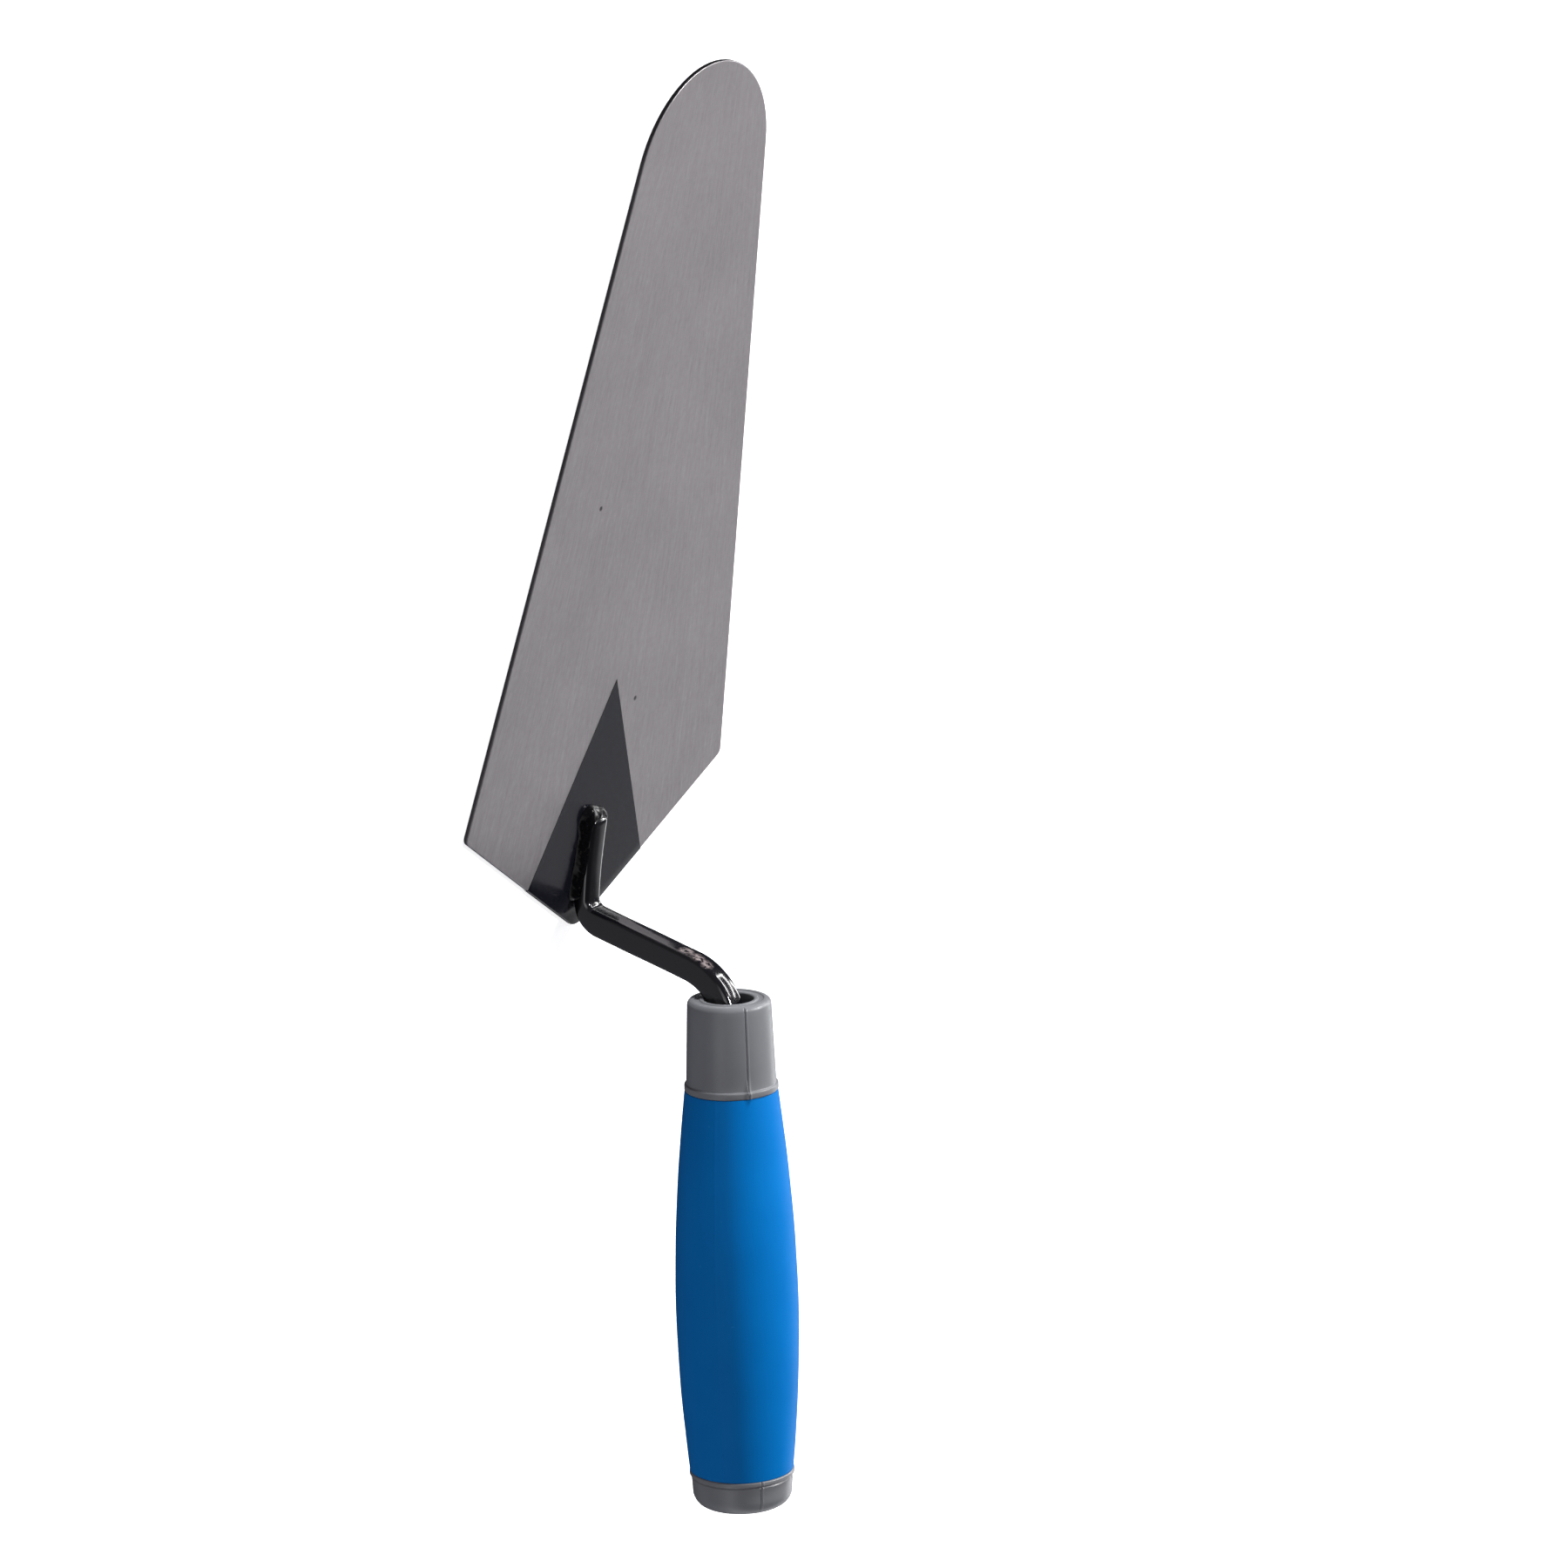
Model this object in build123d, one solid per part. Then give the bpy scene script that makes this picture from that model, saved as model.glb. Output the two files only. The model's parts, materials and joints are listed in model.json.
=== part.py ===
from build123d import *
from math import cos, radians, sin, tan
import os

# Round-nosed brick trowel: a flat steel blade, a cranked tang welded on top of its heel,
# and a two-tone moulded handle that the tang is pressed into.
# Millimetres. The origin is on the blade's underside, on its centre line, where the blade
# is widest. +X points to the blade's tip, +Y to its left and +Z up towards the handle.

# Blade
blade_thickness = 1.2
blade_tip_x = 189.2
blade_tip_radius = 27.4
blade_side_taper = 10.03
blade_heel_depth = 35.25
heel_corner_radius = 5.0
shoulder_corner_radius = 2.0
blade_edge_rounding = 0.3

# Tang: one square bar, drawn down to a thin pad where it lies on the blade
bar_width = 6.4
bar_edge_radius = 1.0
crank_lean = 3.83
knee_x = -33.9
knee_z = 47.4
upper_bend_radius = 15.0
lower_bend_outer_radius = 8.5
lower_bend_inner_radius = 2.4
pad_root_z = 5.4
pad_waist_x = -18.0
pad_waist_z = 4.2
pad_waist_radius = 30.0
pad_toe_x = -5.2
pad_toe_z = 3.7
spike_end_station = 82.0
spike_tip_length = 16.0
spike_tip_width = 4.0
spike_tip_radius = 1.6
spike_taper_radius = 40.0

# Handle: stations are distances along its axis from the collar's mouth
handle_pitch = 13.05
knee_to_mouth = 3.7
mouth_radius = 6.15
mouth_depth = 9.0
mouth_edge_rounding = 0.5
collar_front_radius = 10.45
collar_front_rounding = 1.7
collar_back_radius = 11.25
collar_lip_start = 21.4
collar_lip_end = 23.2
collar_lip_radius = 11.75
lip_rounding = 0.4
core_radius = 9.6
socket_clearance = 0.05
socket_spare_length = 3.0
grip_start_radius = 11.6
grip_shoulder_station = 40.0
grip_shoulder_radius = 13.4
grip_belly_station = 80.0
grip_belly_radius = 15.33
grip_waist_station = 107.0
grip_waist_radius = 14.3
grip_end_station = 121.6
grip_end_radius = 13.0
cap_lip_end = 122.9
cap_lip_radius = 13.25
cap_front_radius = 12.75
cap_back_radius = 12.35
cap_edge_rounding = 4.2
handle_length = 131.2
spigot_radius = 6.0
spigot_length = 12.0
spigot_gap = 1.0

# Welds that hold the pad down
weld_height = 2.7
side_weld_back_x = -27.0
side_weld_front_x = -12.4
side_weld_reach = 2.5
side_weld_ripples = 8
toe_weld_lead = 1.2
toe_weld_reach = 2.7
toe_weld_corner_radius = 1.5
toe_weld_ripples = 12

half_bar = bar_width / 2
lean = radians(crank_lean)
pitch = radians(handle_pitch)
knee = Vector(knee_x, knee_z)
crank_up = Vector(-sin(lean), cos(lean))
handle_back = Vector(-cos(pitch), sin(pitch))
crank_inward = Vector(-cos(lean), -sin(lean))
handle_inward = Vector(-sin(pitch), -cos(pitch))

mouth = knee + handle_back * knee_to_mouth
handle_frame = Plane(
    origin=(mouth.X, 0, mouth.Y),
    x_dir=(0, 1, 0),
    z_dir=(handle_back.X, 0, handle_back.Y),
)


def blade():
    """Kite-shaped plate with a round nose, a V heel and softened edges."""
    taper = radians(blade_side_taper)
    nose_x = blade_tip_x - blade_tip_radius
    half_width = (nose_x * sin(taper) + blade_tip_radius) / cos(taper)
    side_x = nose_x + blade_tip_radius * sin(taper)
    side_y = blade_tip_radius * cos(taper)
    back = FilletPolyline(
        (side_x, side_y),
        (0, half_width),
        (-blade_heel_depth, 0),
        (0, -half_width),
        (side_x, -side_y),
        radius=[shoulder_corner_radius, heel_corner_radius, shoulder_corner_radius],
    )
    nose = ThreePointArc((side_x, -side_y), (blade_tip_x, 0), (side_x, side_y))
    plate = extrude(make_face([*back.edges(), *nose.edges()]), blade_thickness)
    rims = plate.faces().filter_by(Axis.Z).edges()
    return fillet(rims, blade_edge_rounding)


def knee_corner(offset):
    """Where the crank's and the spike's faces meet, each moved inward by the offset."""
    spread = 1 + crank_inward.dot(handle_inward)
    return knee + (crank_inward + handle_inward) * (offset / spread)


def crank_face_x(offset, z):
    """X on the crank's face, moved inward by the offset, at height z."""
    corner = knee + crank_inward * offset
    return corner.X + (corner.Y - z) * tan(lean)


def along_handle(station, offset):
    """Point in the side view at a station of the handle, moved inward by the offset."""
    return mouth + handle_back * station + handle_inward * offset


def tang():
    """Pad, lower bend, crank, upper bend and spike, forged from one square bar."""
    tip_start = spike_end_station - spike_tip_length
    half_tip = spike_tip_width / 2
    corners = [
        ((pad_toe_x, blade_thickness), 0),
        ((crank_face_x(half_bar, blade_thickness), blade_thickness), lower_bend_outer_radius),
        (knee_corner(half_bar), upper_bend_radius - half_bar),
        (along_handle(tip_start, half_bar), spike_taper_radius),
        (along_handle(spike_end_station, half_tip), spike_tip_radius),
        (along_handle(spike_end_station, -half_tip), spike_tip_radius),
        (along_handle(tip_start, -half_bar), spike_taper_radius),
        (knee_corner(-half_bar), upper_bend_radius + half_bar),
        ((crank_face_x(-half_bar, pad_root_z), pad_root_z), lower_bend_inner_radius),
        ((pad_waist_x, pad_waist_z), pad_waist_radius),
        ((pad_toe_x, pad_toe_z), 0),
    ]
    outline = FilletPolyline(
        *[point for point, radius in corners],
        radius=[radius for point, radius in corners],
        close=True,
    )
    bar = extrude(Plane.XZ * make_face(outline), half_bar, both=True)
    side_edges = bar.faces().filter_by(Axis.Y).edges()
    long_edges = [e for e in side_edges if abs(e.center().X - pad_toe_x) > bar_edge_radius]
    return fillet(long_edges, bar_edge_radius)


def grip_outline():
    """Barrel curve of the sleeve in the handle's own frame: radius against station."""
    return Spline(
        (grip_start_radius, 0, collar_lip_end),
        (grip_shoulder_radius, 0, grip_shoulder_station),
        (grip_belly_radius, 0, grip_belly_station),
        (grip_waist_radius, 0, grip_waist_station),
        (grip_end_radius, 0, grip_end_station),
    )


def turned(outline):
    """Solid of revolution about the handle's axis, placed on the handle."""
    return handle_frame.location * revolve(make_face(outline), Axis.Z)


def ring_points(*points):
    """Points in the handle's own frame from pairs of radius and station."""
    return [(radius, 0, station) for radius, station in points]


def socket():
    """Square hole for the spike, from the mouth's floor to just past the spike's end."""
    side = bar_width + 2 * socket_clearance
    section = RectangleRounded(side, side, bar_edge_radius)
    length = spike_end_station + socket_spare_length - mouth_depth
    return handle_frame.location * extrude(Plane.XY.offset(mouth_depth) * section, length)


def handle_core():
    """Grey core: the collar and its lip at the front, and the body inside the sleeve."""
    spigot_floor = grip_end_station - spigot_length - spigot_gap
    outline = FilletPolyline(
        *ring_points(
            (0, mouth_depth),
            (mouth_radius, mouth_depth),
            (mouth_radius, 0),
            (collar_front_radius, 0),
            (collar_back_radius, collar_lip_start),
            (collar_lip_radius, collar_lip_start),
            (collar_lip_radius, collar_lip_end),
            (core_radius, collar_lip_end),
            (core_radius, grip_end_station),
            (spigot_radius, grip_end_station),
            (spigot_radius, spigot_floor),
            (0, spigot_floor),
        ),
        radius=[0, 0, mouth_edge_rounding, collar_front_rounding, 0]
        + [lip_rounding, 0, 0, 0, 0, 0, 0],
        close=True,
    )
    return turned(outline) - socket()


def grip_sleeve():
    """Blue soft sleeve moulded over the core between the two lips."""
    ends = Polyline(
        *ring_points(
            (grip_end_radius, grip_end_station),
            (core_radius, grip_end_station),
            (core_radius, collar_lip_end),
            (grip_start_radius, collar_lip_end),
        )
    )
    return turned([*grip_outline().edges(), *ends.edges()])


def end_cap():
    """Grey cap with a lip against the sleeve and a spigot plugged into the core."""
    spigot_end = grip_end_station - spigot_length
    outline = FilletPolyline(
        *ring_points(
            (0, spigot_end),
            (spigot_radius, spigot_end),
            (spigot_radius, grip_end_station),
            (cap_lip_radius, grip_end_station),
            (cap_lip_radius, cap_lip_end),
            (cap_front_radius, cap_lip_end),
            (cap_back_radius, handle_length),
            (0, handle_length),
        ),
        radius=[0, 0, 0, lip_rounding, lip_rounding, 0, cap_edge_rounding, 0],
        close=True,
    )
    return turned(outline)


def ripples(centres, reach):
    """Row of overlapping weld ripples, flattened domes that stand on the blade."""
    dome = scale(Sphere(1), by=(reach, reach, weld_height))
    beads = [Pos(x, y, blade_thickness) * dome for x, y in centres]
    bead = beads[0].fuse(*beads[1:])
    return split(bead, Plane.XY.offset(blade_thickness), keep=Keep.TOP)


def side_weld(side, pad):
    """Fillet weld along one side of the pad."""
    pitch_x = (side_weld_front_x - side_weld_back_x - side_weld_reach) / side_weld_ripples
    first_x = side_weld_back_x + side_weld_reach
    centres = [(first_x + i * pitch_x, side * half_bar) for i in range(side_weld_ripples)]
    front = Plane.YZ.offset(side_weld_front_x)
    bead = split(ripples(centres, side_weld_reach), front, keep=Keep.BOTTOM)
    half = split(bead, Plane.XZ, keep=Keep.BOTTOM if side > 0 else Keep.TOP)
    return half - pad


def toe_weld(pad):
    """Weld that wraps round the pad's toe from one side weld to the other."""
    route = FilletPolyline(
        (side_weld_front_x, half_bar),
        (pad_toe_x + toe_weld_lead, half_bar),
        (pad_toe_x + toe_weld_lead, -half_bar),
        (side_weld_front_x, -half_bar),
        radius=toe_weld_corner_radius,
    )
    points = [route @ (i / (toe_weld_ripples - 1)) for i in range(toe_weld_ripples)]
    centres = [(point.X, point.Y) for point in points]
    back = Plane.YZ.offset(side_weld_front_x)
    return split(ripples(centres, toe_weld_reach), back, keep=Keep.TOP) - pad


pad_and_crank = tang()
pieces = {
    "blade": blade(),
    "tang": pad_and_crank,
    "weld_bead_left": side_weld(1, pad_and_crank),
    "weld_bead_right": side_weld(-1, pad_and_crank),
    "weld_bead_toe": toe_weld(pad_and_crank),
    "handle_core": handle_core(),
    "grip_sleeve": grip_sleeve(),
    "end_cap": end_cap(),
}
os.makedirs("parts", exist_ok=True)
for name, piece in pieces.items():
    piece.label = name
    export_step(piece, f"parts/{name}.step")
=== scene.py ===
import json
from math import atan2, cos, pi, radians, sin, sqrt, tan

import bmesh
import bpy
import numpy as np
from mathutils import Matrix, Vector, noise


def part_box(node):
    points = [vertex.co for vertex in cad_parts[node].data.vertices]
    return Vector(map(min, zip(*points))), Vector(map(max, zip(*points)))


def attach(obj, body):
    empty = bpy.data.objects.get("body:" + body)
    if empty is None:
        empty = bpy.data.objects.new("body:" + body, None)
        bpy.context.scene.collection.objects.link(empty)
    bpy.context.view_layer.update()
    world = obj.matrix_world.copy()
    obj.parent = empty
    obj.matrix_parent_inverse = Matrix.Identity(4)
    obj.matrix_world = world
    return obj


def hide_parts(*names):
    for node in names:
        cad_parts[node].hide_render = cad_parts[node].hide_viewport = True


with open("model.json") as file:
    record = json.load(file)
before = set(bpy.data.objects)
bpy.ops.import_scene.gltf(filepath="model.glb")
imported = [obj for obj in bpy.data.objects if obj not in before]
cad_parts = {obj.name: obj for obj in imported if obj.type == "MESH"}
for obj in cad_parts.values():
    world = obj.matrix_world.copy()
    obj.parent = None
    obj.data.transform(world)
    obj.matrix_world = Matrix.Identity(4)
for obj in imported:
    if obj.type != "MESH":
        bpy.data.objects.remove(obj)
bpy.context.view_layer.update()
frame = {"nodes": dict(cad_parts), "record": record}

# Round-nosed brick trowel. Metres, in the part's frame: the origin is under the blade at its
# widest line, +X runs to the tip, +Y to the left and +Z up towards the handle.

mm = 0.001

# The plate and the bar, read from the part
blade_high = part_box("blade")[1]
plate_top = blade_high.z
tang_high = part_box("tang")[1]
half_bar = tang_high.y
toe_x = tang_high.x

# The handle's axis, read from the record's grip mount
grip_mount = next(m for m in frame["record"]["mounts"] if m["name"] == "grip")
axis_point = Vector(grip_mount["pos_m"])
handle_back = Vector(grip_mount["axis"]).normalized()
handle_side = Vector((0, 1, 0))
handle_up = handle_side.cross(handle_back)


def node_points(node):
    """Vertices of a CAD node as rows of x, y, z."""
    mesh = frame["nodes"][node].data
    points = np.empty(len(mesh.vertices) * 3)
    mesh.vertices.foreach_get("co", points)
    return points.reshape(-1, 3)


def stations_and_radii(node):
    """Where each vertex of a node lies along the handle's axis, and how far out."""
    offsets = node_points(node) - np.array(axis_point)
    along = offsets @ np.array(handle_back)
    across = offsets - np.outer(along, np.array(handle_back))
    return along, np.linalg.norm(across, axis=1)


core_along = stations_and_radii("handle_core")[0]
mouth_along = core_along.min()
mouth = axis_point + handle_back * mouth_along
core_end = core_along.max() - mouth_along
core_radius = 9.6 * mm


def on_handle(radius, station, azimuth):
    """Point at a radius and station of the handle; azimuth runs from +Y over the top."""
    out = handle_side * cos(azimuth) + handle_up * sin(azimuth)
    return mouth + handle_back * station + out * radius


# Meshes

def mesh_object(name, points, faces):
    """New smooth-shaded mesh object with its origin at the frame's origin."""
    mesh = bpy.data.meshes.new(name)
    mesh.from_pydata([tuple(p) for p in points], [], faces)
    mesh.validate()
    mesh.update()
    obj = bpy.data.objects.new(name, mesh)
    bpy.context.scene.collection.objects.link(obj)
    mesh.shade_smooth()
    return obj


def loft(name, rings, wrapped=False):
    """Closed skin over rings of equally many points: capped, or wrapped round to the start."""
    count = len(rings[0])
    last = len(rings) - 1
    faces = []
    for i in range(len(rings) if wrapped else last):
        ring, next_ring = i * count, (i + 1) % len(rings) * count
        for j in range(count):
            k = (j + 1) % count
            faces.append((ring + j, ring + k, next_ring + k, next_ring + j))
    if not wrapped:
        faces.append(tuple(range(count))[::-1])
        faces.append(tuple(last * count + j for j in range(count)))
    obj = mesh_object(name, [p for ring in rings for p in ring], faces)
    work = bmesh.new()
    work.from_mesh(obj.data)
    bmesh.ops.recalc_face_normals(work, faces=work.faces)
    work.to_mesh(obj.data)
    work.free()
    return obj


def crease(obj, angle):
    """Keeps shading sharp over edges that turn by more than the angle, in degrees."""
    obj.data.set_sharp_from_angle(angle=radians(angle))
    return obj


def rounded(corners, steps=6):
    """Polyline through 2D corners, each given as x, y, radius, with true arcs at the corners."""
    line = []
    for i, (x, y, radius) in enumerate(corners):
        here = Vector((x, y))
        if radius == 0 or i in (0, len(corners) - 1):
            line.append(here)
            continue
        before = (Vector(corners[i - 1][:2]) - here).normalized()
        after = (Vector(corners[i + 1][:2]) - here).normalized()
        half = before.angle(after) / 2
        centre = here + (before + after).normalized() * (radius / sin(half))
        start = here + before * (radius / tan(half)) - centre
        end = here + after * (radius / tan(half)) - centre
        turn = start.angle_signed(end)
        for k in range(steps + 1):
            line.append(centre + Matrix.Rotation(-turn * k / steps, 2) @ start)
    return line


def spaced(line, gap):
    """The same polyline with points added so that no stretch is longer than the gap."""
    dense = [line[0]]
    for a, b in zip(line, line[1:]):
        pieces = max(1, int(np.ceil((b - a).length / gap)))
        dense += [a.lerp(b, k / pieces) for k in range(1, pieces + 1)]
    return dense


def hump(away, width):
    """1 at no distance away, falling to 0 over about twice the width."""
    return np.exp(-(away / width) ** 2)


# Tang: rings between an under and an upper rail, drawn in the side view

crank_lean = radians(3.83)
crank_up = Vector((-sin(crank_lean), cos(crank_lean)))
crank_in = Vector((-cos(crank_lean), -sin(crank_lean)))
spike_back = Vector((handle_back.x, handle_back.z))
spike_in = Vector((-handle_back.z, handle_back.x))
mouth_side = Vector((mouth.x, mouth.z))
knee_to_mouth = 3.7 * mm
knee = mouth_side - spike_back * knee_to_mouth
upper_bend = 15.0 * mm
lower_bend_outer = 8.5 * mm
lower_bend_inner = 2.4 * mm
pad_toe_height = 3.7 * mm
pad_root_height = 5.4 * mm
pad_toe_rounding = 1.3 * mm
pad_slope = Vector((-1, 0.12)).normalized()
spike_taper_start = 66 * mm
spike_end = 82 * mm
spike_tip_half = 2 * mm
pad_rings = 30
pad_bunching = 1.5
lower_bend_rings = 24
crank_rings = 44
upper_bend_rings = 44
spike_rings = 40
spike_taper_rings = 12

# The bar's section, which bulges most on the outside of the upper bend, and its forged skin
bar_edge = 1.0 * mm
bar_edge_steps = 6
bar_side_steps = 8
bar_crown = 0.14 * mm
bend_crown = 0.25 * mm
bend_crown_reach = 0.45
forging_scale, forging_depth = 110, 0.07 * mm
pebble_scale, pebble_depth = 420, 0.006 * mm


def knee_corner(offset):
    """Where the crank's and the spike's faces meet, each moved inward by the offset."""
    return knee + (crank_in + spike_in) * (offset / (1 + crank_in.dot(spike_in)))


def foot_corner(offset, z):
    """Point at height z on the crank's face, moved inward by the offset."""
    point = knee + crank_in * offset
    return Vector((point.x + (point.y - z) * tan(crank_lean), z))


def stretch(a, b, count):
    """Points from a towards b, without b."""
    return [a.lerp(b, k / count) for k in range(count)]


def bend(corner, coming, going, radius, count):
    """Points round a true arc that turns from one direction to the other at a corner."""
    turn = coming.angle(going)
    inward = (going - coming * going.dot(coming)).normalized()
    start = corner - coming * (radius * tan(turn / 2))
    centre = start + inward * radius
    angles = [turn * k / count for k in range(count + 1)]
    return [centre + (coming * sin(a) - inward * cos(a)) * radius for a in angles]


def tang_rail(offset, pad, foot, foot_going, foot_radius):
    """One rail of the tang, from the pad's toe to the spike's end."""
    lower = bend(foot, foot_going, crank_up, foot_radius, lower_bend_rings)
    upper_radius = upper_bend - offset
    upper = bend(knee_corner(offset), crank_up, spike_back, upper_radius, upper_bend_rings)
    taper = mouth_side + spike_back * spike_taper_start + spike_in * offset
    tip_offset = spike_tip_half if offset > 0 else -spike_tip_half
    tip = mouth_side + spike_back * spike_end + spike_in * tip_offset
    crank = stretch(lower[-1], upper[0], crank_rings)[1:]
    spike = stretch(upper[-1], taper, spike_rings)[1:]
    spike += stretch(taper, tip, spike_taper_rings) + [tip]
    return pad(lower[0]) + lower + crank + upper + spike


def pad_under(end):
    """Flat underside of the pad, on the plate."""
    toe = Vector((toe_x, plate_top))
    return [toe.lerp(end, (k / pad_rings) ** pad_bunching) for k in range(pad_rings)]


def pad_over(end):
    """Top of the pad, drawn down towards its toe, with the toe's edge rounded off."""
    points = []
    for k in range(pad_rings):
        part = (k / pad_rings) ** pad_bunching
        x = toe_x + (end.x - toe_x) * part
        z = pad_toe_height + (end.y - pad_toe_height) * part ** 2
        over = max(0.0, 1 - (toe_x - x) / pad_toe_rounding)
        points.append(Vector((x, z - pad_toe_rounding * (1 - sqrt(1 - over * over)))))
    return points


def over_crown(rise, height):
    """How far the over face bulges at a ring that rises in the direction given."""
    if height < knee.y / 2:
        return bar_crown
    whole = (-crank_in).angle(-spike_in) * bend_crown_reach
    share = min(1.0, (-crank_in).angle(rise) / whole)
    return bar_crown + (bend_crown - bar_crown) * share * share * (3 - 2 * share)


def bar_ring(under, over):
    """Rounded rectangle with crowned faces, from the under point to the over point."""
    height = (over - under).length
    rise = (over - under) / height
    edge = min(bar_edge, height / 2 * 0.96)
    crown = over_crown(rise, over.y)
    outline = []
    for corner in range(4):
        centre_y = (half_bar - edge) * (1 if corner in (0, 3) else -1)
        centre_h = height - edge if corner in (0, 1) else edge
        for k in range(bar_edge_steps + 1):
            angle = corner * pi / 2 + k / bar_edge_steps * pi / 2
            outline.append((centre_y + edge * cos(angle), centre_h + edge * sin(angle)))
    points = []
    for i, (a, b) in enumerate(zip(outline, outline[1:] + outline[:1])):
        on_face = i % (bar_edge_steps + 1) == bar_edge_steps
        for y, h in stretch(Vector(a), Vector(b), bar_side_steps if on_face else 1):
            across = y / half_bar
            along = 2 * h / height - 1
            y += across * bar_crown * (1 - along * along)
            h += max(along, 0) * crown * (1 - across * across)
            points.append(Vector((under.x + rise.x * h, y, under.y + rise.y * h)))
    return points


def build_tang():
    """Forged square tang under a coat of lacquer, with slightly uneven faces."""
    foot = foot_corner(half_bar, plate_top)
    root = foot_corner(-half_bar, pad_root_height)
    lower = tang_rail(half_bar, pad_under, foot, Vector((-1, 0)), lower_bend_outer)
    upper = tang_rail(-half_bar, pad_over, root, pad_slope, lower_bend_inner)
    rings = []
    for a, b in zip(lower, upper):
        centre = Vector(((a.x + b.x) / 2, 0, (a.y + b.y) / 2))
        ring = []
        for p in bar_ring(a, b):
            swell = noise.noise(p * forging_scale) * forging_depth
            swell += noise.noise(p * pebble_scale) * pebble_depth
            on_plate = p.z < plate_top + 0.2 * mm and p.x > foot.x
            ring.append(p + (p - centre).normalized() * (min(swell, 0) if on_plate else swell))
        rings.append(ring)
    return crease(loft("forged_tang", rings), 50)


# Handle: rings round its axis, closer together at the mould seams

mouth_radius = 6.15 * mm
mouth_depth = 9.0 * mm
collar_front = 10.45 * mm
collar_back = 11.25 * mm
lip_start = 21.4 * mm
lip_end = 23.2 * mm
lip_radius = 11.75 * mm
spigot_radius = 6.0 * mm
spigot_floor = core_end - 13 * mm
spigot_gap = 1.0 * mm
socket_half = half_bar + 0.05 * mm
socket_end = 85 * mm

# A shallow groove round the mouth in the collar's front face
groove_inner = mouth_radius + 0.95 * mm
groove_outer = mouth_radius + 2.6 * mm
groove_slope = 0.3 * mm
groove_depth = 0.3 * mm

# Mould seams: a hairline cut beside a low ridge, with a nub of flash at the collar's lip
seam_azimuth = radians(55)
core_seams = (seam_azimuth, seam_azimuth + pi)
flash_cut, flash_width = 0.14 * mm, 0.16 * mm
ridge_rise, ridge_width, ridge_away = 0.08 * mm, 0.2 * mm, 0.4 * mm
mould_step = 0.1 * mm
nub_rise, nub_width, nub_length = 0.65 * mm, 0.55 * mm, 1.7 * mm
turn_steps = 120
seam_zone = radians(5)
seam_step = radians(0.25)
seam_side_steps = 18

sleeve_parting = radians(13)
parting_rise, parting_width = 0.05 * mm, 0.3 * mm
sleeve_edge = 0.12 * mm
sleeve_rings = 90
rubber_scale, rubber_depth = 90, 0.05 * mm

cap_lip_back = core_end + 1.3 * mm
cap_groove = 12.6 * mm
cap_front = 12.75 * mm
cap_back = 12.33 * mm
cap_seam_start = 11 * mm


def turned_away(azimuth, seam):
    """Angle from a seam to an azimuth, between minus half a turn and half a turn."""
    return (azimuth - seam + pi) % (2 * pi) - pi


def around_handle(seams):
    """Azimuths for one turn, bunched at each seam."""
    turn = 2 * pi
    steps = {round(k * turn / turn_steps, 6) for k in range(turn_steps)}
    for seam in seams:
        steps -= {s for s in steps if abs(turned_away(s, seam)) < seam_zone}
        near = range(-seam_side_steps, seam_side_steps + 1)
        steps |= {round((seam + k * seam_step) % turn, 6) for k in near}
    return sorted(steps)


def turned(name, profile, seams, swell, wrapped=False):
    """Solid of revolution from (radius, station) pairs; swell adds to each point's radius."""
    azimuths = around_handle(seams)
    rings = [
        [on_handle(radius + swell(radius, station, a), station, a) for a in azimuths]
        for radius, station in profile
    ]
    return crease(loft(name, rings, wrapped), 35)


def seam_ridge(azimuth, radius):
    """Flash left by the mould, with one half of the moulding a touch proud of the other."""
    height = 0.0
    for seam in core_seams:
        away = turned_away(azimuth, seam) * radius
        height -= flash_cut * hump(away, flash_width)
        height += ridge_rise * hump(away - ridge_away, ridge_width)
    past = (azimuth - seam_azimuth) % (2 * pi)
    return height - (0.0 if 0 < past < pi else mould_step)


def collar_nub(azimuth, station):
    """Small blob of flash where the seam meets the lip."""
    across = turned_away(azimuth, seam_azimuth) * lip_radius / nub_width
    along = (station - lip_start) / nub_length
    return nub_rise * np.exp(-across ** 2 - along ** 4)


def square_radius(azimuth):
    """Distance from the axis to the wall of the square socket."""
    x, y = abs(cos(azimuth)), abs(sin(azimuth))
    flat = socket_half / max(x, y)
    inner = socket_half - bar_edge
    if min(x, y) * flat <= inner:
        return flat
    b = inner * (x + y)
    return b + np.sqrt(b * b - 2 * inner * inner + bar_edge * bar_edge)


def build_core():
    """Grey moulding: collar, lip and the body that the sleeve and the spike share."""
    outside = spaced(rounded([
        (mouth_radius, mouth_depth, 0),
        (mouth_radius, 0, 0.5 * mm),
        (groove_inner, 0, 0.15 * mm),
        (groove_inner + groove_slope, groove_depth, 0.15 * mm),
        (groove_outer - groove_slope, groove_depth, 0.15 * mm),
        (groove_outer, 0, 0.15 * mm),
        (collar_front, 0, 1.4 * mm),
        (collar_back, lip_start, 0.25 * mm),
        (lip_radius, lip_start, 0.4 * mm),
        (lip_radius, lip_end, 0.4 * mm),
        (core_radius, lip_end, 0),
        (core_radius, core_end, 0),
        (spigot_radius, core_end, 0),
        (spigot_radius, spigot_floor, 0),
    ]), 1.5 * mm)
    socket = [(0, station) for station in (socket_end, mouth_depth + 4 * mm, mouth_depth)]

    def swell(radius, station, azimuth):
        if radius == 0:
            return square_radius(azimuth)
        seen = collar_front * 0.9 < radius and 0.2 * mm < station <= lip_end
        return seam_ridge(azimuth, radius) + collar_nub(azimuth, station) if seen else 0

    return turned("handle_core_moulding", socket + outside, core_seams, swell)


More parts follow.
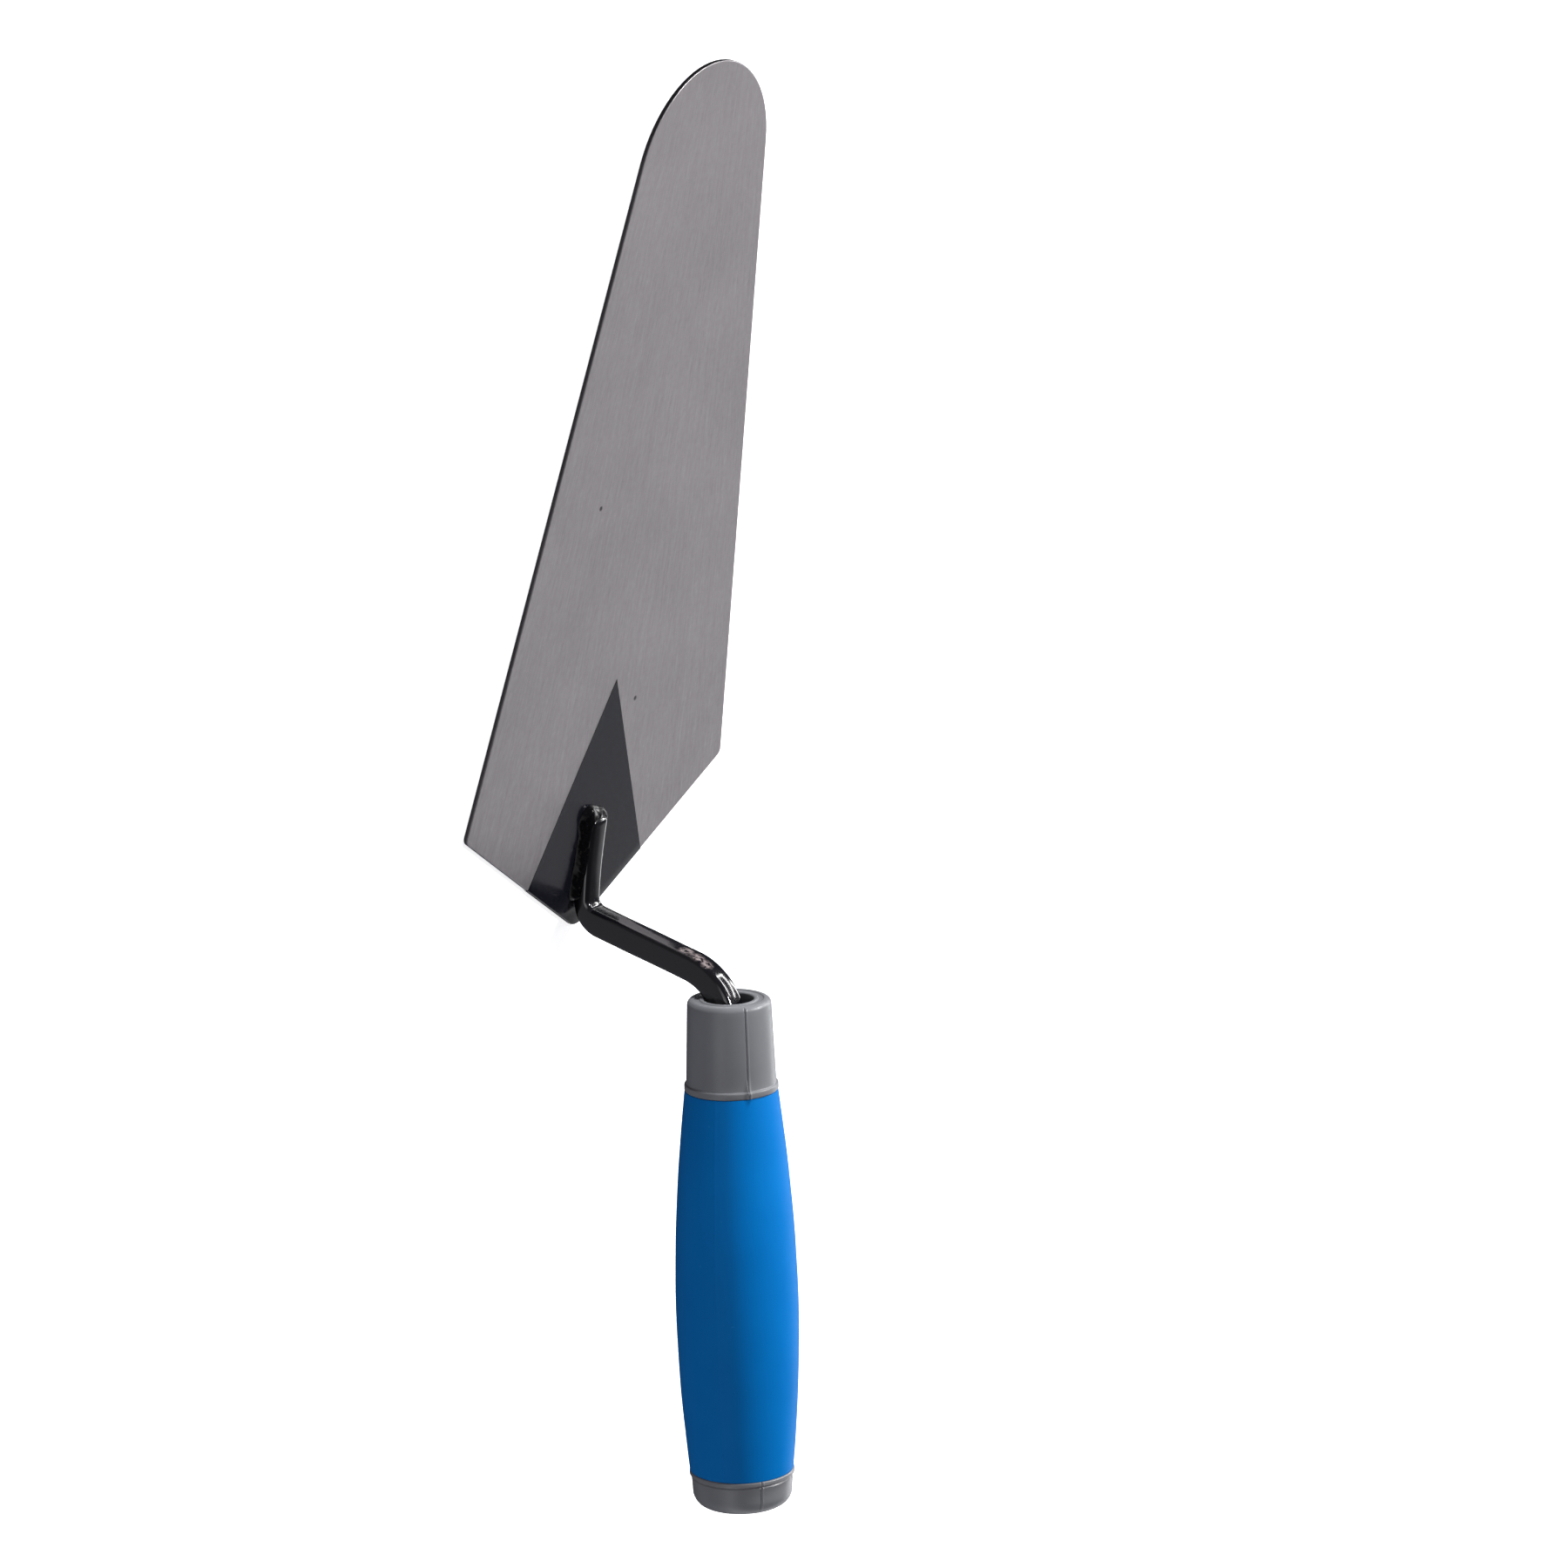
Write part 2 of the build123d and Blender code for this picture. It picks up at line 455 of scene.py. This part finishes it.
def build_sleeve():
    """Soft blue sleeve, flush between the two lips, with a faint parting line."""
    along, out = stations_and_radii("grip_sleeve")
    outer = out > core_radius + 0.5 * mm
    barrel = np.polynomial.Polynomial.fit(along[outer] - mouth_along, out[outer], 7)
    start, end = lip_end + 0.02 * mm, core_end
    stations = np.linspace(start + sleeve_edge, end - sleeve_edge, sleeve_rings)
    profile = [(core_radius, start), (float(barrel(start)) - sleeve_edge, start)]
    profile += [(float(barrel(s)), float(s)) for s in stations]
    profile += [(float(barrel(end)) - sleeve_edge, end), (core_radius, end)]

    def swell(radius, station, azimuth):
        if radius < core_radius + 0.5 * mm:
            return 0.0
        away = (azimuth - sleeve_parting + pi / 2) % pi - pi / 2
        line = parting_rise * hump(away * radius, parting_width)
        p = on_handle(radius, station, azimuth)
        return line + noise.noise(p * rubber_scale) * rubber_depth

    seams = (sleeve_parting, sleeve_parting + pi)
    return turned("blue_grip_sleeve", profile, seams, swell, wrapped=True)


def build_cap():
    """Grey end cap with its lip, its softly domed end and the spigot in the core."""
    cap_along, cap_out = stations_and_radii("end_cap")
    cap_end = cap_along.max() - mouth_along
    cap_lip = cap_out.max() - 0.02 * mm
    spigot = spigot_radius - 0.02 * mm
    spigot_end = spigot_floor + spigot_gap
    profile = spaced(rounded([
        (0.4 * mm, spigot_end, 0),
        (spigot, spigot_end, 0.3 * mm),
        (spigot, core_end, 0),
        (cap_lip, core_end, 0.4 * mm),
        (cap_lip, cap_lip_back, 0.4 * mm),
        (cap_groove, cap_lip_back, 0.1 * mm),
        (cap_groove, cap_lip_back + 0.3 * mm, 0.1 * mm),
        (cap_front, cap_lip_back + 0.6 * mm, 0.3 * mm),
        (cap_back, cap_end - 0.62 * mm, 3.75 * mm),
        (6 * mm, cap_end - 0.1 * mm, 9 * mm),
        (0.4 * mm, cap_end, 0),
    ], 10), 1.2 * mm)

    def swell(radius, station, azimuth):
        if radius < cap_seam_start:
            return 0.0
        return seam_ridge(azimuth, radius) * min(1.0, (radius - cap_seam_start) / mm)

    return turned("grey_end_cap", profile, core_seams, swell)


# Welds: convex fillets of metal along the pad's walls, drowned in lacquer

weld_heel_x = -27.0 * mm
weld_break_x = -12.4 * mm
weld_overlap = 1.8 * mm
weld_round_end = 2.2 * mm
toe_round_end = 1.6 * mm
toe_corner = 1.4 * mm
weld_inner = 1.3 * mm
weld_buried = 0.3 * mm
weld_fullness = 1.25
weld_inner_steps = 8
weld_outer_steps = 18
ripple_pitch = 1.7 * mm
ripple_depth = 0.08 * mm
spatter_scale, spatter_depth = 300, 0.5 * mm
pimple_scale, pimple_depth = 700, 0.12 * mm
toe_lumps = (
    (-13.6 * mm, 4.7 * mm, 1.0 * mm, 0.5 * mm),
    (-3.4 * mm, 3.0 * mm, 1.5 * mm, 0.45 * mm),
    (-5.5 * mm, -3.4 * mm, 0.9 * mm, 0.35 * mm),
)


def bead_section(height, reach):
    """A bead's profile as (distance out of the wall, height), from inside the wall outward."""
    points = [(-weld_inner, -weld_buried)]
    for k in range(weld_inner_steps + 1):
        angle = pi / 2 * k / weld_inner_steps
        points.append((-weld_inner * cos(angle), height - weld_inner * (1 - sin(angle))))
    for k in range(1, weld_outer_steps + 1):
        angle = pi / 2 * k / weld_outer_steps
        out, up = sin(angle) ** weld_fullness, cos(angle) ** weld_fullness
        points.append((reach * out, height * up))
    points.append((reach, -weld_buried))
    return points


def end_size(gone, length):
    """Size of a bead at a distance from its end: a quarter circle over the length given."""
    if length == 0:
        return 1.0
    return sqrt(1 - (1 - min(1.0, (gone + 0.03 * mm) / length)) ** 2)


def along_route(values, part):
    """Value at a part of the route, between values in millimetres spread evenly over it."""
    return float(np.interp(part * (len(values) - 1), range(len(values)), values)) * mm


def weld_bead(name, route, heights, reaches, tapers, lumps=()):
    """Bead along a route on the plate, with the pad on its right.

    Heights and reaches are spread evenly from the route's start to its end; tapers are the
    lengths of its two round ends. Each lump is x, y, radius and extra height."""
    line = spaced(route, 0.2 * mm)
    steps = [(b - a).length for a, b in zip(line, line[1:])]
    total = sum(steps)
    rings = []
    gone = 0.0
    for i, here in enumerate(line):
        ahead = (line[min(i + 1, len(line) - 1)] - line[max(i - 1, 0)]).normalized()
        out = Vector((-ahead.y, ahead.x))
        size = min(end_size(gone, tapers[0]), end_size(total - gone, tapers[1]))
        height = along_route(heights, gone / total) * size
        reach = along_route(reaches, gone / total) * (0.3 + 0.7 * size)
        ring = []
        for d, h in bead_section(height, reach):
            spot = here + out * d
            p = Vector((spot.x, spot.y, plate_top + h))
            if h > 0 and d > -weld_inner:
                # Ripples that bow back as they near the plate, then the skin's own roughness
                wave = abs(cos(pi * (gone / ripple_pitch - 0.9 * (d / reach) ** 2)))
                swell = (wave - 0.6) * ripple_depth * min(1.0, max(0.0, d / reach) * 3)
                swell += noise.noise(p * spatter_scale) * spatter_depth
                swell += noise.noise(p * pimple_scale) * pimple_depth
                for x, y, radius, extra in lumps:
                    swell += extra * hump(p.x - x, radius) * hump(p.y - y, radius)
                swell *= size * min(1.0, h / (1.2 * mm))
                p += Vector((out.x, out.y, 0.8)).normalized() * swell
            ring.append(p)
        rings.append(ring)
        gone += steps[i] if i < len(steps) else 0.0
    return crease(loft(name, rings), 60)


def side_route(side):
    """Straight route along one side of the pad, from the heel on the left, to it on the right."""
    ends = [Vector((weld_heel_x, side * half_bar)), Vector((weld_break_x, side * half_bar))]
    return ends if side > 0 else ends[::-1]


def toe_route():
    """Route round the pad's toe, which overlaps the side welds' ends."""
    start = weld_break_x - weld_overlap
    return rounded([
        (start, half_bar, 0),
        (toe_x, half_bar, toe_corner),
        (toe_x, -half_bar, toe_corner),
        (start, -half_bar, 0),
    ], 10)


# Lacquer: a thin skin over the heel of the plate, wrapped down over its rim

spear_point = 31.25 * mm
spear_root_x = -19.7 * mm
heel_depth = 35.25 * mm
heel_radius = 5 * mm
shoulder_spare = 0.75 * mm
rim_rounding = 0.3 * mm
rim_steps = 6
film = 0.05 * mm
heel_side_steps = 30
heel_corner_steps = 24
spear_rows = 24


def heel_outline(inset):
    """The plate's heel between the spear's two roots, left to right, moved inward by the inset."""
    half_width = blade_high.y + shoulder_spare
    slope = Vector((heel_depth, half_width)).normalized()
    inward = Vector((slope.y, -slope.x))
    half_angle = atan2(half_width, heel_depth)
    root = Vector((spear_root_x, (heel_depth + spear_root_x) * half_width / heel_depth))
    touch = Vector((-heel_depth, 0)) + slope * (heel_radius / tan(half_angle))
    centre = Vector((heel_radius / sin(half_angle) - heel_depth, 0))
    left = [p + inward * inset for p in stretch(root, touch, heel_side_steps)]
    corner = []
    for k in range(heel_corner_steps + 1):
        angle = (pi / 2 - half_angle) * (1 - 2 * k / heel_corner_steps)
        corner.append(centre + Vector((-cos(angle), sin(angle))) * (heel_radius - inset))
    return left + corner + [Vector((p.x, -p.y)) for p in reversed(left)]


def build_spear():
    """Black lacquer dipped over the heel, ending in a long point on the plate's top."""
    rim = []
    for k in range(rim_steps + 1):
        angle = k / rim_steps * pi / 2
        drop = rim_rounding * (1 - cos(angle))
        rim.append((rim_rounding * (1 - sin(angle)), plate_top - drop))
    rim += [(0, rim_rounding), (rim_rounding * 0.3, 0.1 * mm)]
    tip = Vector((spear_point, 0))
    inner = heel_outline(rim_rounding)
    count = len(inner)
    rows = []
    for k in range(1, spear_rows):
        rows.append([(tip.lerp(p, k / spear_rows), plate_top) for p in inner])
    for inset, z in rim:
        rows.append([(p, z) for p in heel_outline(inset)])
    points = [(p.x, p.y, z) for row in rows for p, z in row]
    points.append((tip.x, tip.y, plate_top))
    faces = []
    for i in range(len(rows) - 1):
        for j in range(count - 1):
            a = i * count + j
            faces.append((a, a + count, a + count + 1, a + 1))
    faces += [(len(points) - 1, j, j + 1) for j in range(count - 1)]
    obj = mesh_object("lacquer_spear", points, faces)
    thick = obj.modifiers.new("film", "SOLIDIFY")
    thick.thickness = film
    thick.offset = 1
    graph = bpy.context.evaluated_depsgraph_get()
    final = bpy.data.meshes.new_from_object(obj.evaluated_get(graph))
    obj.modifiers.clear()
    obj.data = final
    final.shade_smooth()
    return crease(obj, 40)


# Materials

class Graph:
    """Shorthand for building a node tree: add returns the new node, and the calls named after
    what a node does return its output."""

    def __init__(self, tree):
        self.nodes = tree.nodes
        self.links = tree.links

    def feed(self, socket, value):
        """Links an output to a socket, or sets the socket to a number or a colour."""
        if isinstance(value, bpy.types.NodeSocket):
            self.links.new(value, socket)
        elif isinstance(value, tuple) and socket.type == "RGBA":
            socket.default_value = (*value, 1)
        else:
            socket.default_value = value

    def add(self, kind, **values):
        """New node with its input sockets fed; underscores in a socket's name are spaces."""
        node = self.nodes.new("ShaderNode" + kind)
        for name, value in values.items():
            self.feed(node.inputs[name.replace("_", " ")], value)
        return node

    def noise(self, vector, scale=1.0, detail=3.0, roughness=0.5):
        return self.add("TexNoise", Vector=vector, Scale=scale, Detail=detail,
                        Roughness=roughness).outputs["Fac"]

    def scaled(self, vector, scale):
        return self.add("Mapping", Vector=vector, Scale=scale).outputs["Vector"]

    def parts(self, vector):
        """A vector's X, Y and Z, by name."""
        return self.add("SeparateXYZ", Vector=vector).outputs

    def spread(self, value, start, end):
        """0 where the value is at the start, 1 where it is at the end."""
        return self.add("MapRange", Value=value, From_Min=start, From_Max=end).outputs["Result"]

    def ramp(self, source, *stops):
        node = self.add("ValToRGB", Fac=source)
        elements = node.color_ramp.elements
        while len(elements) < len(stops):
            elements.new(0.5)
        for element, (position, colour) in zip(elements, stops):
            element.position = position
            shade = colour if isinstance(colour, tuple) else (colour,) * 3
            element.color = (*shade, 1)
        return node.outputs["Color"]

    def math(self, operation, a, b=0.0, clamp=False):
        node = self.add("Math")
        node.operation = operation
        node.use_clamp = clamp
        self.feed(node.inputs[0], a)
        self.feed(node.inputs[1], b)
        return node.outputs["Value"]

    def mix(self, factor, a, b, blend="MIX"):
        node = self.add("Mix")
        node.data_type = "RGBA"
        node.blend_type = blend
        for index, value in ((0, factor), (6, a), (7, b)):
            self.feed(node.inputs[index], value)
        return node.outputs[2]


class Paint(Graph):
    """Graph of a new material with a Principled shader."""

    def __init__(self, name):
        self.material = bpy.data.materials.new(name)
        self.material.use_nodes = True
        super().__init__(self.material.node_tree)
        self.shader = self.nodes["Principled BSDF"]
        self.place = self.add("TexCoord").outputs["Object"]

    def finish(self, **values):
        """Feeds the shader's sockets and returns the material."""
        for name, value in values.items():
            self.feed(self.shader.inputs[name.replace("_", " ")], value)
        return self.material

    def facing(self):
        """How far the surface faces up or down, in the part's own frame."""
        return self.math("ABSOLUTE", self.parts(self.add("TexCoord").outputs["Normal"])["Z"])

    def bump(self, height, strength, distance):
        return self.add("Bump", Strength=strength, Distance=distance,
                        Height=height).outputs["Normal"]

    def near(self, point, radius):
        """1 within a radius of a point, fading to 0 at twice that."""
        node = self.add("VectorMath")
        node.operation = "DISTANCE"
        self.feed(node.inputs[0], self.place)
        self.feed(node.inputs[1], point)
        away = self.math("DIVIDE", node.outputs["Value"], radius)
        return self.math("SUBTRACT", 2.0, away, clamp=True)


fan_centre = 318 * mm
pits = ((79.5 * mm, 20.6 * mm), (24.2 * mm, -10.1 * mm))
pit_radius = 0.4 * mm
# Centres of pale pinkish spots on the crank, below the upper bend
pale_spots = (
    (-29.8 * mm, 0.5 * mm, 34.3 * mm),
    (-30.1 * mm, 0.8 * mm, 38.0 * mm),
    (-30.3 * mm, 1.1 * mm, 41.1 * mm),
)
pale_spot_radius = 1.1 * mm


def blade_steel():
    """Bare ground steel: fine lines that fan with the plate's taper, a few pits and scuffs, and
    painted shade on the plate's side walls.
    """
    paint = Paint("ground_blade_steel")
    place = paint.parts(paint.place)
    fan = paint.math("DIVIDE", place["Y"], paint.math("SUBTRACT", fan_centre, place["X"]))

    def lines(along, across, detail, roughness=0.5):
        x = paint.math("MULTIPLY", place["X"], along)
        y = paint.math("MULTIPLY", fan, across)
        run = paint.add("CombineXYZ", X=x, Y=y).outputs["Vector"]
        return paint.noise(run, 1.0, detail, roughness)

    fine = lines(60.0, 1900.0, 3.0, 0.6)
    strokes = lines(150.0, 420.0, 3.0, 0.6)
    broad = lines(14.0, 120.0, 3.0)
    cloud = paint.noise(paint.place, 34.0)
    mottle = paint.noise(paint.place, 700.0)
    colour = paint.ramp(fine, (0.3, (0.385, 0.362, 0.376)), (0.7, (0.455, 0.429, 0.446)))
    for source, low in ((strokes, 0.84), (broad, 0.93), (cloud, 0.9), (mottle, 0.92)):
        colour = paint.mix(1.0, colour, paint.ramp(source, (0.3, low), (0.7, 1.0)), "MULTIPLY")
    scratches = paint.ramp(lines(90.0, 700.0, 2.0), (0.7, 0.0), (0.76, 0.45))
    colour = paint.mix(scratches, colour, (0.62, 0.59, 0.6))
    # Painted shade: the colour darkens where the surface turns from facing up or down, so the
    # plate's side walls come out dark
    edge = paint.ramp(paint.facing(), (0.35, 0.22), (0.97, 1.0))
    colour = paint.mix(1.0, colour, edge, "MULTIPLY")
    for x, y in pits:
        pit = paint.near((x, y, plate_top), pit_radius)
        colour = paint.mix(pit, colour, (0.06, 0.055, 0.06))
    return paint.finish(
        Base_Color=colour,
        Roughness=paint.ramp(fine, (0.2, 0.4), (0.8, 0.52)),
        Normal=paint.bump(fine, 0.2, 0.02 * mm),
        Metallic=1.0)


def black_lacquer():
    """Glossy black enamel over forged metal, with dust and a few pale pinkish spots on the crank.
    """
    paint = Paint("gloss_black_lacquer")
    sag = paint.noise(paint.place, 150.0, 2.0)
    dust = paint.noise(paint.place, 3200.0, 2.0)
    spot_noise = paint.noise(paint.place, 900.0, 2.0)
    colour = paint.ramp(dust, (0.64, (0.0014, 0.0014, 0.0022)), (0.82, (0.012, 0.012, 0.013)))
    patchy = paint.ramp(spot_noise, (0.36, 0.0), (0.64, 1.0))
    # Pale pinkish patches, broken up by noise, round the spots listed above
    for spot in pale_spots:
        pale_patch = paint.math("MULTIPLY", paint.near(spot, pale_spot_radius), patchy)
        colour = paint.mix(pale_patch, colour, (0.19, 0.16, 0.16))
    return paint.finish(
        Base_Color=colour,
        Roughness=paint.ramp(sag, (0.3, 0.07), (0.75, 0.15)),
        Normal=paint.bump(sag, 0.1, 0.2 * mm),
        Specular_IOR_Level=0.75)


def weld_lacquer():
    """The same enamel where it has run thin and dull over the rough beads."""
    paint = Paint("dull_weld_lacquer")
    grit = paint.noise(paint.place, 1100.0)
    return paint.finish(
        Base_Color=paint.ramp(grit, (0.6, (0.0016, 0.0016, 0.002)), (0.85, (0.02, 0.016, 0.014))),
        Roughness=paint.ramp(grit, (0.3, 0.15), (0.7, 0.25)),
        Normal=paint.bump(grit, 0.25, 0.06 * mm),
        Specular_IOR_Level=0.1)


def spear_lacquer():
    """Thin lacquer dipped over the ground plate: smooth black, with dust in it."""
    paint = Paint("satin_spear_lacquer")
    grain = paint.noise(paint.scaled(paint.place, (60, 900, 60)))
    dust = paint.noise(paint.place, 900.0)
    colour = paint.ramp(grain, (0.3, (0.0035, 0.0037, 0.0065)), (0.7, (0.005, 0.0053, 0.0085)))
    specks = paint.ramp(dust, (0.72, 0.0), (0.8, 0.12))
    return paint.finish(
        Base_Color=paint.mix(specks, colour, (0.06, 0.06, 0.065)),
        Roughness=paint.ramp(dust, (0.3, 0.13), (0.7, 0.2)),
        Normal=paint.bump(grain, 0.1, 0.02 * mm),
        Specular_IOR_Level=0.4)


def grey_plastic():
    """Satin moulded polypropylene with a faint flow pattern."""
    paint = Paint("satin_grey_plastic")
    grain = paint.noise(paint.place, 2600.0)
    flow = paint.noise(paint.place, 70.0)
    return paint.finish(
        Base_Color=paint.ramp(flow, (0.3, (0.118, 0.121, 0.129)), (0.7, (0.135, 0.139, 0.148))),
        Roughness=paint.ramp(grain, (0.3, 0.36), (0.7, 0.48)),
        Normal=paint.bump(grain, 0.12, 0.04 * mm))


def blue_rubber():
    """Soft-touch thermoplastic rubber: matte blue with a fine skin and light marks."""
    paint = Paint("soft_blue_rubber")
    skin = paint.noise(paint.place, 3200.0, 4.0, 0.6)
    tone = paint.noise(paint.place, 45.0)
    marks = paint.noise(paint.place, 700.0, 2.0)
    colour = paint.ramp(tone, (0.3, (0.0006, 0.115, 0.365)), (0.7, (0.001, 0.129, 0.4)))
    pale = paint.ramp(marks, (0.74, 0.0), (0.82, 0.35))
    return paint.finish(
        Base_Color=paint.mix(pale, colour, (0.03, 0.21, 0.5)),
        Roughness=paint.ramp(skin, (0.3, 0.5), (0.7, 0.62)),
        Normal=paint.bump(skin, 0.2, 0.04 * mm),
        Specular_IOR_Level=0.04)


# Assembly

all_but_blade = bpy.data.collections.new("all_but_blade")


def dress(obj, material):
    """Gives an object a material in place of the ones it has."""
    obj.data.materials.clear()
    obj.data.materials.append(material)


def add(obj, slot, material, *replaced):
    """Finishes a new piece: its material, the body that it rides on and what it stands for."""
    all_but_blade.objects.link(obj)
    dress(obj, material)
    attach(obj, "root")
    if replaced:
        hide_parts(*replaced)


dress(frame["nodes"]["blade"], blade_steel())
lacquer = black_lacquer()
grey = grey_plastic()
add(build_tang(), "black_lacquer", lacquer, "tang")
left_bead = weld_bead("weld_left", side_route(1), (2.2, 2.5), (2.3, 2.5), (weld_round_end, 0))
right_bead = weld_bead("weld_right", side_route(-1), (2.3, 2.1), (2.4, 2.2), (0, weld_round_end))
toe_bead = weld_bead(
    "weld_toe", toe_route(),
    (2.0, 2.0, 2.1, 2.3, 2.1, 1.6, 1.6, 1.9, 2.0),
    (2.3, 2.4, 2.7, 3.9, 2.8, 1.8, 1.8, 2.1, 2.2),
    (toe_round_end, toe_round_end), toe_lumps)
dull = weld_lacquer()
add(left_bead, "black_lacquer", dull, "weld_bead_left")
add(right_bead, "black_lacquer", dull, "weld_bead_right")
add(toe_bead, "black_lacquer", dull, "weld_bead_toe")
add(build_spear(), "black_lacquer", spear_lacquer())
add(build_core(), "grey_plastic", grey, "handle_core")
add(build_sleeve(), "blue_grip", blue_rubber(), "grip_sleeve")
add(build_cap(), "grey_plastic", grey, "end_cap")


# Stage

light_target = Vector((0.0, 0.0, 0.03))
light_distance = 3
twin_slant = Vector((-0.54, 0.0, 0.84))
floor_half = 12.0


def floor():
    """Plain pale floor under the trowel; it throws no light back up at it."""
    signs = ((-1, -1), (1, -1), (1, 1), (-1, 1))
    corners = [(x * floor_half, y * floor_half, 0) for x, y in signs]
    mesh = bpy.data.meshes.new("floor")
    mesh.from_pydata(corners, [], [(0, 1, 2, 3)])
    obj = bpy.data.objects.new("floor", mesh)
    bpy.context.scene.collection.objects.link(obj)
    obj.visible_diffuse = False
    obj.visible_glossy = False
    mesh.materials.append(Paint("pale_floor").finish(
        Base_Color=(0.9, 0.9, 0.9), Roughness=0.9, Specular_IOR_Level=0.0,
        Emission_Color=(1.0, 1.0, 1.0), Emission_Strength=0.7))


def towards(x, y, z):
    """Place for a light, about the lights' distance from the trowel."""
    return light_target + Vector((x, y, z)) * light_distance


def softbox(name, place, width, height, power, upward=(0, 0, 1), mirrored=True):
    """Rectangular area light that faces the trowel, and shows in glossy surfaces or not."""
    light = bpy.data.lights.new(name, "AREA")
    light.shape = "RECTANGLE"
    light.size = width
    light.size_y = height
    light.energy = power
    obj = bpy.data.objects.new(name, light)
    bpy.context.scene.collection.objects.link(obj)
    obj.visible_glossy = mirrored
    away = (place - light_target).normalized()
    side = Vector(upward).cross(away).normalized()
    turn = Matrix((side, away.cross(side), away)).transposed()
    obj.matrix_world = Matrix.Translation(place) @ turn.to_4x4()
    return obj


def twin(name, right, down, width, height, power):
    """Narrow light that draws a line on the upper bend and stays off the bare steel."""
    centre = towards(0.44, -0.82, 0.28)
    level = twin_slant.cross(centre - light_target).normalized()
    place = centre + level * right - twin_slant * down
    obj = softbox(name, place, width, height, power, twin_slant)
    obj.light_linking.receiver_collection = all_but_blade


def lights():
    """High key, twin strips that meet at one end, two low strips on the -Y side, a light from
    the tip's side that no surface mirrors, and a weak fill on the camera's side."""
    softbox("key", towards(0.5, -0.45, 0.74), 0.4, 0.4, 97)
    twin("twin_near", 0.6, 0, 0.11, 1.3, 9)
    twin("twin_far", 0.02, 0, 0.11, 1.3, 9)
    twin("twin_foot", 0.31, 0.65, 0.69, 0.1, 4)
    softbox("strip", towards(0.2, -0.96, 0.2), 1.4, 0.3, 20)
    softbox("rim", towards(-0.36, -0.93, 0.1), 0.9, 0.4, 4)
    softbox("front", towards(0.99, -0.1, 0.06), 0.6, 0.6, 200, mirrored=False)
    softbox("fill", towards(0.3, 0.85, 0.43), 1.5, 1.5, 8)


def backdrop():
    """Bright sweep above the horizon, dark overhead and dim below it, darker still below on
    the -Y side, with a grey curtain over the +X side."""
    world = bpy.data.worlds.new("studio")
    world.use_nodes = True
    sky = Graph(world.node_tree)
    direction = sky.parts(sky.add("TexCoord").outputs["Generated"])
    colour = sky.ramp(
        sky.spread(direction["Z"], -1, 1),
        (0.0, (0.32, 0.32, 0.36)),
        (0.48, (0.32, 0.32, 0.36)),
        (0.5, (2.2, 2.25, 2.4)),
        (0.59, (1.8, 1.8, 1.83)),
        (0.66, (1.1, 1.1, 1.12)),
        (0.73, (0.6, 0.6, 0.62)),
        (0.765, (0.12, 0.12, 0.13)),
        (0.9, (0.07, 0.07, 0.08)),
    )
    curtain = sky.spread(direction["X"], 0.05, 0.3)
    far_side = sky.spread(direction["Y"], 0.25, -0.25)
    below = sky.spread(direction["Z"], 0.0, -0.04)
    colour = sky.mix(curtain, colour, (0.16, 0.16, 0.18))
    colour = sky.mix(sky.math("MULTIPLY", far_side, below), colour, (0.07, 0.07, 0.08))
    sky.feed(sky.nodes["Background"].inputs["Color"], colour)
    bpy.context.scene.world = world


def camera():
    """Long lens, rolled so that the handle hangs straight down."""
    place = Vector((0.5489, 1.2889, 0.7785))
    aim = Vector((0.01037, -0.02598, 0.03831))
    roll = radians(110.886)
    data = bpy.data.cameras.new("camera")
    data.sensor_width = 36
    data.lens = 148.23
    obj = bpy.data.objects.new("camera", data)
    bpy.context.scene.collection.objects.link(obj)
    ahead = (aim - place).normalized()
    level = ahead.cross(Vector((0, 0, 1))).normalized()
    above = level.cross(ahead)
    right = level * cos(roll) + above * sin(roll)
    up = right.cross(ahead)
    turn = Matrix((right, up, -ahead)).transposed()
    obj.matrix_world = Matrix.Translation(place) @ turn.to_4x4()
    bpy.context.scene.camera = obj


floor()
lights()
backdrop()
camera()
bpy.context.scene.view_settings.view_transform = "Standard"
